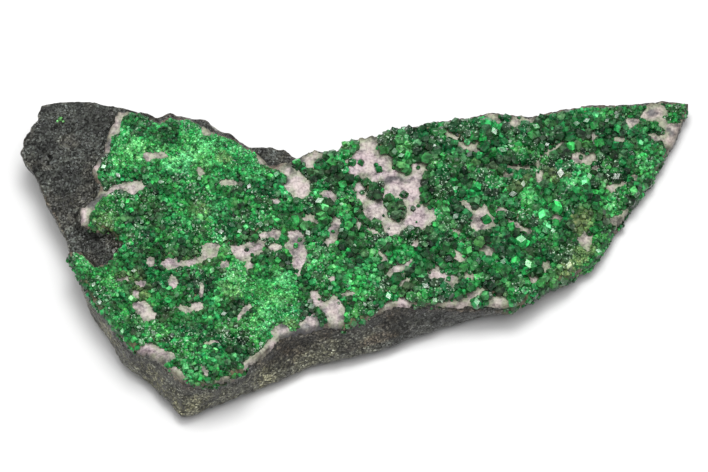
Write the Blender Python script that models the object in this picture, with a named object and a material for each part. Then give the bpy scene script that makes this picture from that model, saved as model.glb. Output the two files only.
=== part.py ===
"""A plate of uvarovite garnet on chromite, as broken from the vein. Metres, +Z up.

The chromite slab lies on its underside. A thin skin of clinochlore covers its upper face, and the
garnet crust grows on that skin, with windows where the skin shows and lone garnets in the windows.
The origin is the middle of the bounding box, on the surface that the slab lies on.
"""

import math
import random

import bmesh
import bpy
from mathutils import Matrix, Vector, geometry, noise

MM = 0.001

# Driving dimensions
LENGTH = 79.3 * MM  # left corner to right tip
SLAB_FACE = 6.3 * MM  # mean height of the chromite's upper face, at the left and in the middle
THINNING = 4.0 * MM  # how much thinner the slab is at its right tip
SKIN = 0.5 * MM  # thickness of the clinochlore
CRUST = 0.7 * MM  # thickness of the garnet crust between its larger crystals
SEAM = 0.3 * MM  # room kept between two pieces that touch
LARGE_GARNET = 0.74 * MM  # centre to face of the largest crystals, at the right
SMALL_GARNET = 0.46 * MM  # the same at the left, where the crust is fine

# How the upper face and the broken edges depart from flat
THIN_FROM, THIN_TO = 2 * MM, 36 * MM
SWELL, SWELL_SPACING = 0.75 * MM, 19 * MM
LUMP, LUMP_SPACING = 0.3 * MM, 6 * MM
EDGE_DROP = 0.3 * MM
CHIP, CHIP_SPACING = 0.2 * MM, 3.5 * MM
LEDGE, LEDGE_SPACING, LEDGE_HEIGHT = 0.55 * MM, 6.0 * MM, 2.6 * MM
HOLLOW, HOLLOW_SPACING = 1.1 * MM, 11 * MM
RIGHT_LIFT, LEFT_LIFT = 0.3 * MM, 1.2 * MM
BRINK_POINT, BRINK_ANGLE = (13.6 * MM, -8.7 * MM), math.radians(47)
BRINK_WIDTH, BRINK_DROP = 5.0 * MM, 1.0 * MM

# Mesh spacing
RIM_SPACING = 1.9 * MM
FACE_SPACING = 2.4 * MM
BASE_SPACING = 4.0 * MM
SHEET_SPACING = 3.2 * MM
GARNET_SPACING = 2.8 * MM

# Outlines were read by eye off a photograph of the stone, in its pixels: u runs right and v down.
# The camera looked down at VIEW_ELEVATION, so height moves a point up the picture.
VIEW_ELEVATION = math.radians(64)
LEFT_U, TIP_U = 19, 691
PIXEL = LENGTH / (TIP_U - LEFT_U)
CENTRE_U, CENTRE_V = 354.8, 264.3

# Edge of the chromite's upper face, clockwise from its top left corner. The third number says how
# far the wall's lower lip stands outside the edge there, or inside it where negative, in mm.
SLAB_EDGE = [
    (35, 111, -0.5), (39, 104, 0.0), (52, 102, 0.4), (67, 101, 0.6), (84, 101, 0.4), (98, 104, 0.8),
    (119, 107, 0.9), (131, 109, 0.5), (149, 114, 0.2), (155, 117, 0.0), (169, 113, 0.5), (191, 118, 1.0),
    (205, 120, 1.2), (215, 128, 0.8), (232, 133, 0.6), (235, 138, 0.3), (251, 148, 0.2), (262, 147, 0.5),
    (285, 150, 0.6), (299, 159, 0.2), (314, 152, 0.0), (336, 154, -0.3), (347, 143, -0.4), (379, 138, 0.2),
    (392, 130, 0.4), (418, 127, 0.2), (431, 127, 0.0), (441, 121, 0.3), (468, 120, 0.7), (493, 114, 0.8),
    (532, 117, 0.3), (566, 109, 0.6), (592, 106, 0.4), (640, 104, 0.2), (668, 101, -0.3), (681, 101, -1.0),
    (690, 106, -0.9), (687, 120, -0.9), (678, 140, -1.0), (665, 160, -1.0), (649, 183, -1.1),
    (633, 206, -1.1), (619, 226, -1.2), (604, 246, -1.2), (591, 264, -1.2), (579, 274, -1.2),
    (563, 281, -1.2), (540, 294, -1.2), (511, 311, -1.2), (497, 314, -1.1), (480, 314, -0.9),
    (462, 314, -0.3), (443, 313, 0.4), (426, 310, 1.3), (405, 309, 2.0), (386, 312, 2.6),
    (368, 321, 2.0), (350, 328, 1.9), (326, 330, 2.2), (300, 334, 2.7), (284, 338, 3.1),
    (268, 351, 2.2), (250, 364, 1.6), (236, 377, 0.8), (215, 382, 1.2), (200, 385, 1.6),
    (187, 383, 2.3), (174, 372, 1.9), (161, 361, 1.6), (146, 353, 1.4), (132, 346, 1.1),
    (119, 330, 0.9), (105, 312, 0.6), (92, 298, 0.1), (80, 279, -0.4), (72, 258, -0.7),
    (67, 240, -0.9), (58, 221, -1.0), (46, 203, -1.0), (38, 184, -0.9), (25, 163, -0.8),
    (20, 152, -0.7), (22, 139, -0.6), (29, 124, -0.5), (36, 117, -0.4),
]

# Edge of the clinochlore skin, clockwise from its top left corner
SKIN_EDGE = [
    (119, 110), (130, 111), (149, 117), (156, 122), (171, 117), (189, 120), (206, 130), (231, 139),
    (256, 154), (269, 166), (284, 166), (299, 160), (314, 154), (338, 155), (349, 144), (379, 140),
    (393, 131), (418, 129), (441, 123), (468, 121), (494, 116), (531, 119), (566, 111), (592, 108),
    (640, 106), (668, 103), (688, 106), (685, 120), (676, 140), (663, 160), (647, 183), (631, 206),
    (617, 226), (602, 245), (589, 263), (577, 272), (562, 279), (539, 292), (510, 309), (480, 311),
    (443, 310), (426, 306), (405, 307), (386, 309), (368, 318), (350, 325), (326, 325), (300, 331),
    (284, 335), (268, 348), (250, 361), (236, 374), (215, 379), (200, 382), (187, 379), (175, 370),
    (162, 361), (150, 351), (134, 346), (113, 319), (94, 297), (82, 277), (71, 251), (81, 250),
    (97, 266), (111, 262), (124, 243), (112, 228), (98, 232), (79, 222), (83, 208), (100, 196),
    (100, 184), (93, 168), (104, 152), (108, 134), (114, 120),
]

# Edge of the garnet crust, in the same order
CRUST_EDGE = [
    (129, 112), (142, 117), (156, 125), (171, 120), (188, 122), (206, 134), (231, 143), (253, 157),
    (266, 170), (280, 178), (288, 198), (304, 203), (312, 192), (311, 172), (326, 159), (340, 158),
    (353, 147), (356, 165), (370, 170), (384, 150), (384, 142), (395, 133), (418, 131), (442, 125),
    (470, 123), (496, 119), (531, 122), (566, 113), (592, 110), (626, 109), (645, 119), (664, 107),
    (686, 108), (683, 119), (662, 121), (658, 132), (667, 146), (661, 160), (645, 183), (629, 206),
    (615, 226), (600, 244), (587, 262), (564, 276), (538, 290), (509, 306), (490, 306), (472, 306),
    (457, 296), (443, 306), (428, 304), (410, 305), (400, 297), (382, 306), (366, 317), (350, 323),
    (343, 312), (334, 296), (322, 303), (311, 295), (306, 318), (288, 328), (270, 338), (258, 350),
    (243, 364), (226, 375), (204, 379), (189, 376), (180, 364), (180, 352), (158, 347), (136, 342),
    (115, 317), (96, 295), (84, 276), (73, 254), (82, 255), (97, 270), (113, 264), (127, 243),
    (112, 226), (92, 225), (93, 211), (106, 199), (110, 190), (104, 181), (101, 168), (112, 148),
    (116, 133), (124, 119),
]

# Windows in the crust, where the skin shows. Each is a ring of points.
WINDOWS = {
    "long": [
        (359, 181), (371, 172), (390, 168), (406, 177), (412, 165), (425, 168), (425, 190), (421, 206),
        (433, 214), (430, 227), (412, 229), (398, 236), (384, 228), (366, 217), (358, 202),
    ],
    "fork": [(327, 218), (340, 219), (341, 232), (333, 248), (325, 244), (330, 231)],
    "pond": [(231, 243), (245, 240), (264, 245), (262, 258), (246, 263), (234, 257)],
    "pool": [(203, 247), (213, 242), (221, 247), (217, 256), (206, 257)],
    "west": [(113, 191), (121, 183), (136, 182), (143, 187), (130, 194)],
    "split": [(286, 238), (299, 232), (308, 242), (306, 262), (297, 274), (288, 262)],
    "south": [(135, 302), (147, 301), (158, 311), (155, 321), (145, 319)],
    "dot": [(190, 305), (198, 300), (206, 303), (202, 311), (192, 311)],
    "step": [(322, 191), (333, 190), (341, 197), (335, 203), (325, 200)],
    "ring": [(472, 214), (482, 207), (492, 211), (495, 222), (487, 230), (474, 228)],
    "wedge": [(425, 276), (436, 264), (446, 274), (459, 277), (453, 287), (440, 280)],
    "gate": [(574, 155), (584, 151), (597, 154), (592, 161), (579, 163)],
    "bead": [(576, 240), (583, 232), (591, 238), (587, 247), (578, 246)],
    "tan": [(481, 249), (487, 245), (493, 250), (488, 255)],
    "slope": [(387, 274), (398, 265), (411, 262), (403, 271), (392, 278)],
}

# Garnets that stand alone on the skin, or on the bare slab: u, v, centre to face in mm
LONE_ON_SKIN = [
    (297, 178, 0.7), (379, 186, 0.6), (404, 196, 0.62), (388, 211, 0.9), (483, 219, 0.6),
    (247, 251, 0.45),
]
LONE_ON_SLAB = [(60, 119, 0.45)]

CHROMITE = ("chromite", (0.075, 0.075, 0.07), 0.55, 0.25)
CLINOCHLORE = ("clinochlore", (0.52, 0.43, 0.45), 0.6, 0.0)
UVAROVITE = ("uvarovite", (0.015, 0.26, 0.06), 0.15, 0.0)

# From the edge of the upper face over the lip to the foot of the wall: share of the way down, share
# of the lip's lean, and how far the wall stands out besides, as a share of its height. Below the
# lip it is undercut.
WALL = [
    (0.0, 0.0, 0.0), (0.12, 0.15, 0.025), (0.32, 0.45, 0.03), (0.52, 0.8, 0.015), (0.7, 1.0, 0.0),
    (0.88, 1.0, -0.1), (1.0, 1.0, -0.27),
]

# Corners of a rhombic dodecahedron: eight where three faces meet and six where four do. Its faces
# are the square root of two from its centre, and its outermost corners are two.
THREE_FOLD = [(x, y, z) for x in (-1, 1) for y in (-1, 1) for z in (-1, 1)]
FOUR_FOLD = [(2, 0, 0), (-2, 0, 0), (0, 2, 0), (0, -2, 0), (0, 0, 2), (0, 0, -2)]
FACE_REACH, CORNER_REACH = math.sqrt(2), 2


def wave(x, y, spacing, layer):
    """Smooth noise from -1 to 1, with hills about one spacing apart. Each layer is another pattern."""
    return noise.noise(Vector((x / spacing, y / spacing, 7.3 * layer)))


def relief(x, y):
    """How far the slab's upper face stands above its mean height."""
    return SWELL * wave(x, y, SWELL_SPACING, 1) + LUMP * wave(x, y, LUMP_SPACING, 2)


def smooth_step(value, start, end):
    """0 before start, 1 after end and smooth between them."""
    share = min(1.0, max(0.0, (value - start) / (end - start)))
    return share * share * (3 - 2 * share)


def brink(x, y):
    """How far the upper face has dropped towards the straight edge at the right front."""
    across, along = x - BRINK_POINT[0], y - BRINK_POINT[1]
    inwards = along * math.cos(BRINK_ANGLE) - across * math.sin(BRINK_ANGLE)
    return BRINK_DROP * smooth_step(BRINK_WIDTH - inwards, 0, BRINK_WIDTH)


def slab_face(x, y):
    level = SLAB_FACE - THINNING * smooth_step(x, THIN_FROM, THIN_TO)
    return level - brink(x, y) + relief(x, y)


def slab_edge_height(x, y):
    return slab_face(x, y) - EDGE_DROP


def skin_base(x, y):
    return slab_face(x, y) + SEAM


def skin_top(x, y):
    return skin_base(x, y) + SKIN


def crust_base(x, y):
    return skin_top(x, y) + SEAM


def crust_top(x, y):
    return crust_base(x, y) + CRUST + 0.5 * LUMP * (1 + wave(x, y, LUMP_SPACING, 3))


def underside(x, y):
    """Height of the slab's underside. It lies flat in the middle, and lifts towards both ends."""
    right_lift = RIGHT_LIFT * smooth_step(x, 0.3 * LENGTH, 0.5 * LENGTH)
    left_lift = LEFT_LIFT * smooth_step(-x, 0.4 * LENGTH, 0.5 * LENGTH)
    hollow = max(0.0, wave(x, y, HOLLOW_SPACING, 4) - 0.05)
    return right_lift + left_lift + HOLLOW * hollow


def placed(u, v, height):
    """The point (x, y) whose image is pixel (u, v), on the surface height(x, y)."""
    x = (u - CENTRE_U) * PIXEL
    y = 0.0
    for _ in range(6):
        up_picture = (CENTRE_V - v) * PIXEL - height(x, y) * math.cos(VIEW_ELEVATION)
        y = up_picture / math.sin(VIEW_ELEVATION)
    return Vector((x, y))


def ring_of(pixels, height):
    return [placed(u, v, height) for u, v in pixels]


def inside(point, ring):
    """Whether a point lies in a closed ring, by counting the sides that a ray crosses."""
    odd = False
    for a, b in zip(ring, ring[1:] + ring[:1]):
        if (a.y > point.y) != (b.y > point.y):
            odd ^= point.x < a.x + (point.y - a.y) * (b.x - a.x) / (b.y - a.y)
    return odd


def gap_to(point, ring):
    """Distance from a point to the nearest side of a ring."""
    found = []
    for a, b in zip(ring, ring[1:] + ring[:1]):
        share = geometry.intersect_point_line(point, a, b)[1]
        found.append((point - a.lerp(b, min(1.0, max(0.0, share)))).length)
    return min(found)


def scattered(rings, spacing, margin, seed):
    """Points about one spacing apart inside the first ring and outside the others."""
    dice = random.Random(seed)
    outer = rings[0]
    low = Vector((min(p.x for p in outer), min(p.y for p in outer)))
    high = Vector((max(p.x for p in outer), max(p.y for p in outer)))
    row_step = spacing * math.sqrt(3) / 2
    points = []
    for row in range(int((high.y - low.y) / row_step) + 1):
        for column in range(int((high.x - low.x) / spacing) + 1):
            shift = Vector((0.5 * (row % 2) + dice.uniform(-0.2, 0.2), dice.uniform(-0.2, 0.2)))
            point = low + Vector((column * spacing, row * row_step)) + shift * spacing
            held = inside(point, outer) and not any(inside(point, r) for r in rings[1:])
            if held and all(gap_to(point, r) > margin for r in rings):
                points.append(point)
    return points


def triangles(rings, extra):
    """Triangles between an outer ring and the rings of its windows, through the extra points."""
    points, sides = [], []
    for ring in rings:
        first = len(points)
        points += ring
        sides += [(first + i, first + (i + 1) % len(ring)) for i in range(len(ring))]
    points += extra
    in_mm = [p / MM for p in points]
    corners, _, faces, source, _, _ = geometry.delaunay_2d_cdt(in_mm, sides, [], 1, 1e-6)
    middle = [sum((corners[i] for i in face), Vector((0, 0))) * MM / 3 for face in faces]
    kept = [f for f, m in zip(faces, middle) if not any(inside(m, r) for r in rings[1:])]
    return points, [[source[i][0] for i in face] for face in kept]


def finished(name, bm, finish):
    """Makes the object of a closed mesh, with its faces pointing out and its material."""
    bmesh.ops.recalc_face_normals(bm, faces=bm.faces)
    mesh = bpy.data.meshes.new(name)
    bm.to_mesh(mesh)
    bm.free()
    mesh.materials.append(material(*finish))
    obj = bpy.data.objects.new(name, mesh)
    bpy.context.scene.collection.objects.link(obj)
    return obj


def material(name, colour, roughness, metallic):
    found = bpy.data.materials.get(name)
    if found:
        return found
    made = bpy.data.materials.new(name)
    made.use_nodes = True
    shader = made.node_tree.nodes["Principled BSDF"]
    shader.inputs["Base Color"].default_value = (*colour, 1)
    shader.inputs["Roughness"].default_value = roughness
    shader.inputs["Metallic"].default_value = metallic
    return made


def slab_outline():
    """The slab's edge as (point, lean) pairs, with points added so that no side is long."""
    corners = [(placed(u, v, slab_edge_height), lean * MM) for u, v, lean in SLAB_EDGE]
    outline = []
    for (a, lean_a), (b, lean_b) in zip(corners, corners[1:] + corners[:1]):
        pieces = max(1, round((b - a).length / RIM_SPACING))
        for i in range(pieces):
            share = i / pieces
            point = a.lerp(b, share)
            chip = CHIP * wave(point.x, point.y, CHIP_SPACING, 5)
            across = Vector((a.y - b.y, b.x - a.x)).normalized()
            outline.append((point + across * chip, lean_a + share * (lean_b - lean_a)))
    return outline


def outward(ring):
    """Unit directions away from a clockwise ring, smoothed along it."""
    count = len(ring)
    found = []
    for i in range(count):
        along = ring[(i + 3) % count] - ring[i - 3]
        found.append(Vector((-along.y, along.x)).normalized())
    return found


def slab():
    """The chromite: a lumpy upper face, broken walls in ledges and an underside to lie on."""
    outline = slab_outline()
    edge = [point for point, _ in outline]
    away = outward(edge)
    bm = bmesh.new()
    rings = []
    for depth, share, reach in WALL:
        ring = []
        for (point, lean), direction in zip(outline, away):
            top = slab_edge_height(*point)
            spot = point + direction * (share * lean + reach * top + ledge(point, depth))
            bottom = underside(*spot)
            ring.append(bm.verts.new((*spot, top + depth * (bottom - top))))
        rings.append(ring)
    for upper, lower in zip(rings, rings[1:]):
        for i in range(len(upper)):
            bm.faces.new((upper[i - 1], upper[i], lower[i], lower[i - 1]))
    close(bm, rings[0], edge, FACE_SPACING, slab_face)
    close(bm, rings[-1], [v.co.xy for v in rings[-1]], BASE_SPACING, underside)
    bmesh.ops.triangulate(bm, faces=bm.faces)
    return finished("chromite_slab", bm, CHROMITE)


def ledge(point, depth):
    """How far a broken wall stands out at a share of its depth. Its two ends are left alone."""
    height = depth * SLAB_FACE / LEDGE_HEIGHT
    rough = noise.noise(Vector((point.x / LEDGE_SPACING, point.y / LEDGE_SPACING, height)))
    return LEDGE * rough * math.sin(math.pi * depth)


def close(bm, ring, outline, spacing, height):
    """Closes a ring of vertices with a cap that follows height(x, y)."""
    extra = scattered([outline], spacing, 0.5 * spacing, seed=3)
    points, faces = triangles([outline], extra)
    inner = [bm.verts.new((*p, height(*p))) for p in points[len(ring) :]]
    corners = list(ring) + inner
    for face in faces:
        bm.faces.new([corners[i] for i in face])


def sheet(name, rings, lower, upper, finish):
    """A thin layer between two surfaces, with open windows."""
    extra = scattered(rings, SHEET_SPACING, 0.4 * SHEET_SPACING, seed=5)
    points, faces = triangles(rings, extra)
    bm = bmesh.new()
    corners = [bm.verts.new((*p, lower(*p))) for p in points]
    flat = [bm.faces.new([corners[i] for i in face]) for face in faces]
    lifted = bmesh.ops.extrude_face_region(bm, geom=flat)["geom"]
    for vertex in (v for v in lifted if isinstance(v, bmesh.types.BMVert)):
        vertex.co.z = upper(vertex.co.x, vertex.co.y)
    bmesh.ops.triangulate(bm, faces=bm.faces)
    return finished(name, bm, finish)


def add_garnet(bm, radius, spot, turn):
    """Adds a rhombic dodecahedron, radius from its centre to each of its twelve faces."""
    scale = radius / FACE_REACH
    place = Matrix.Translation(spot) @ turn.to_4x4() @ Matrix.Scale(scale, 4)
    cube = {c: bm.verts.new(place @ Vector(c)) for c in THREE_FOLD}
    peak = {c: bm.verts.new(place @ Vector(c)) for c in FOUR_FOLD}
    for i, a in enumerate(FOUR_FOLD):
        for b in FOUR_FOLD[i + 1 :]:
            shared = [c for c in THREE_FOLD if Vector(c).dot(a) > 0 and Vector(c).dot(b) > 0]
            if len(shared) == 2 and Vector(a).dot(b) == 0:
                bm.faces.new((peak[a], cube[shared[0]], peak[b], cube[shared[1]]))


def turned(dice):
    """A random direction for a crystal."""
    axis = Vector([dice.gauss(0, 1) for _ in range(3)]).normalized()
    return Matrix.Rotation(dice.uniform(0, math.tau), 3, axis)


def crust():
    """The garnet crust: a sheet with windows, and its larger crystals grown into it."""
    rings = [ring_of(CRUST_EDGE, crust_top)] + [ring_of(w, crust_top) for w in WINDOWS.values()]
    body = sheet("uvarovite_crust", rings, crust_base, crust_top, UVAROVITE)
    dice = random.Random(11)
    crystals = bmesh.new()
    for spot in scattered(rings, GARNET_SPACING, 0.3 * GARNET_SPACING, seed=7):
        rightness = min(1.0, max(0.0, 0.5 + spot.x / (0.5 * LENGTH)))
        size = SMALL_GARNET + rightness * (LARGE_GARNET - SMALL_GARNET)
        size *= dice.uniform(0.85, 1.15)
        height = crust_base(*spot) + CORNER_REACH / FACE_REACH * size * dice.uniform(1.02, 1.2)
        add_garnet(crystals, size, Vector((*spot, height)), turned(dice))
    cutter = finished("crystals", crystals, UVAROVITE)
    cutter.hide_render = True
    cutter.display_type = "WIRE"
    grown = body.modifiers.new("crystals", "BOOLEAN")
    grown.operation = "UNION"
    grown.solver = "EXACT"
    grown.use_self = True
    grown.object = cutter


def lone_garnets():
    """Crystals that stand apart, each just clear of what it grew on."""
    dice = random.Random(23)
    spots = [(*spot, skin_top) for spot in LONE_ON_SKIN] + [(*spot, slab_face) for spot in LONE_ON_SLAB]
    for number, (u, v, size, ground) in enumerate(spots, 1):
        radius = size * MM
        spot = placed(u, v, ground)
        bm = bmesh.new()
        add_garnet(bm, radius, Vector((0, 0, 0)), turned(dice))
        lowest = min(vertex.co.z for vertex in bm.verts)
        centre = Vector((*spot, ground(*spot) + SEAM - lowest))
        bmesh.ops.translate(bm, verts=bm.verts, vec=centre)
        finished(f"lone_garnet_{number}", bm, UVAROVITE)


def main():
    for obj in list(bpy.data.objects):
        bpy.data.objects.remove(obj)
    slab()
    sheet("clinochlore_skin", [ring_of(SKIN_EDGE, skin_top)], skin_base, skin_top, CLINOCHLORE)
    crust()
    lone_garnets()


main()
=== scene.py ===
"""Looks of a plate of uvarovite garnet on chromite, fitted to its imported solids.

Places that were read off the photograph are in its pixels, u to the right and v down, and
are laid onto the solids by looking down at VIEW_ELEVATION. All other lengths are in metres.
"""

import itertools
import math

import bmesh
import bpy
import numpy as np
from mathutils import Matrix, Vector
from mathutils.bvhtree import BVHTree


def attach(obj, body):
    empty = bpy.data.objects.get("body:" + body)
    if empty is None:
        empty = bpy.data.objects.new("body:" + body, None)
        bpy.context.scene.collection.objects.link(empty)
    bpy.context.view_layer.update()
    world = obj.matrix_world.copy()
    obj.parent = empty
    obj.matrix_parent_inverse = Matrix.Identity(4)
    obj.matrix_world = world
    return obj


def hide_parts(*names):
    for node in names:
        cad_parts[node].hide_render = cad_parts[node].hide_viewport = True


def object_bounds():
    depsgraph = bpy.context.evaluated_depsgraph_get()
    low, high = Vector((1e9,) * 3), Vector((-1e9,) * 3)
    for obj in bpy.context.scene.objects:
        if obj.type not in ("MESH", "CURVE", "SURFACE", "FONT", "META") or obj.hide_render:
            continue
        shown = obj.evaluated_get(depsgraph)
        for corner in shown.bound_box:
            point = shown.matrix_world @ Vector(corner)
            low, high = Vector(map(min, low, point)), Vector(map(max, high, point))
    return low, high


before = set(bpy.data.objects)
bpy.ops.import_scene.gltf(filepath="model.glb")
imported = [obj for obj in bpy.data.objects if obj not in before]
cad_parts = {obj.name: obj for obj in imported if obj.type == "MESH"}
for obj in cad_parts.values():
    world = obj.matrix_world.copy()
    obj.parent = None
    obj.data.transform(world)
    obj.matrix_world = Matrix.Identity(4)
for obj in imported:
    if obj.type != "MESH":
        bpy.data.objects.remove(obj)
cad_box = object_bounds()

MM = 0.001

# Camera and the photograph's frame
FRAME_WIDTH, FRAME_HEIGHT = 708, 472
VIEW_ELEVATION = math.radians(64)
OBJECT_PIXELS = 672
PLATE_LENGTH = 79.3 * MM
PIXEL = PLATE_LENGTH / OBJECT_PIXELS
CENTRE_U, CENTRE_V = 354.8, 264.3
CAMERA_DISTANCE = 1.0
SENSOR = 36.0
AIM_HEIGHT = 5 * MM

# Studio
FLOOR_REACH, FLOOR_GREY = 1.5, 0.56
LAMP_DISTANCE = 0.6
ROOM_LIGHT = 0.45

# Layers above the slab's upper face
SKIN_RISE = 1.2 * MM
BED_RISE = 1.75 * MM
SKIN_SHOWN = 0.45 * MM  # how much of the skin's rim stands out of the rock
TUCK = 0.2 * MM  # how far a layer's rim is tucked under what it lies on

# Mesh spacing
CELL = 0.3 * MM
ROCK_VOXEL = 0.27 * MM
STAMP = 0.05 * MM
RAGGED = 0.16 * MM  # how far the edge of a window wanders
EDGE_WANDER = 0.18 * MM  # how far the edges of the crust wander
SKIN_FLAKES, BED_HUMPS = 0.09 * MM, 0.12 * MM  # how high the layers' upper faces are roughened
ROCK_LUMPS, ROCK_GRAINS = 0.14 * MM, 0.12 * MM  # and the rock

# Edge of the garnet crust, clockwise from its top left corner
CRUST_EDGE = [
    (129, 110), (142, 115), (156, 123), (171, 118), (188, 119), (206, 130), (231, 138), (253, 151),
    (266, 164), (280, 170), (292, 163), (300, 158), (314, 150), (326, 152), (339, 151), (344, 142),
    (360, 138), (378, 135), (393, 128), (418, 126), (442, 121), (470, 118), (496, 113), (531, 117),
    (566, 109), (592, 105), (626, 104), (645, 104), (664, 101), (691, 103), (683, 121), (671, 147),
    (651, 181), (629, 212), (607, 242), (591, 264), (567, 277), (537, 293), (509, 307), (488, 305),
    (470, 304), (448, 299), (430, 303), (400, 301), (382, 305), (362, 318), (345, 325), (330, 319),
    (318, 324), (300, 325), (286, 330), (262, 347), (246, 367), (226, 378), (204, 381), (188, 378),
    (172, 366), (156, 352), (134, 345), (112, 318), (92, 297), (80, 276), (68, 252), (81, 252),
    (96, 267), (111, 263), (125, 243), (111, 228), (90, 226), (91, 212), (104, 197), (102, 184),
    (98, 167), (109, 148), (113, 133), (121, 118),
]

# Edge of the clinochlore skin, in the same order
SKIN_EDGE = [
    (117, 109), (130, 110), (149, 116), (156, 121), (171, 116), (189, 118), (206, 128), (231, 137),
    (256, 152), (269, 164), (284, 163), (299, 157), (314, 149), (325, 151), (338, 150), (343, 141),
    (359, 137), (378, 134), (393, 127), (418, 125), (441, 119), (468, 116), (494, 111), (531, 115),
    (566, 107), (592, 103), (640, 102), (668, 99), (693, 102), (686, 120), (677, 141), (665, 160),
    (649, 183), (633, 206), (619, 226), (604, 246), (591, 264), (579, 273), (563, 281), (540, 292),
    (511, 307), (480, 307), (443, 306), (426, 303), (405, 306), (386, 309), (368, 318), (350, 325),
    (326, 327), (300, 332), (284, 337), (268, 350), (250, 363), (236, 376), (215, 381), (200, 384),
    (187, 381), (174, 371), (161, 361), (149, 352), (132, 346), (111, 319), (92, 298), (80, 278),
    (68, 251), (80, 249), (96, 265), (110, 261), (123, 243), (110, 229), (98, 232), (79, 223),
    (80, 208), (98, 197), (97, 184), (91, 168), (103, 152), (107, 134), (112, 119),
]

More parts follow.
